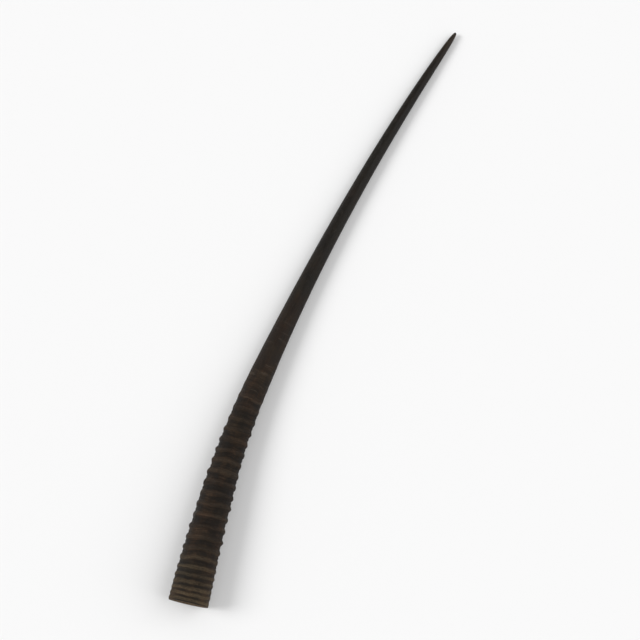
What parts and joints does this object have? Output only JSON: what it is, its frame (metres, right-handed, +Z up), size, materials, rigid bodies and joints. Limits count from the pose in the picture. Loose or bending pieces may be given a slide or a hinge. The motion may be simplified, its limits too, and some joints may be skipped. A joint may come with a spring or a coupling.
{
  "type": "gemsbok horn",
  "caption": "Long, slender, gently bent antelope horn, ringed in its lower part, smooth and pointed above, hollow and cut flat at the base, lying on its side.",
  "frame": {"origin": "bottom centre of the bounding box, on the surface that the horn lies on", "axes": "+X from the cut base towards the point, along the middle line where it leaves the base; the bend is level and turns towards -Y; +Z up"},
  "size_m": [0.9046, 0.219, 0.0496],
  "materials": {
    "keratin": "dark brown to black horn, dull and ridged at the base, smooth with a low gloss towards the point"
  },
  "bodies": {
    "root": {"horn": "keratin"}
  },
  "joints": []
}
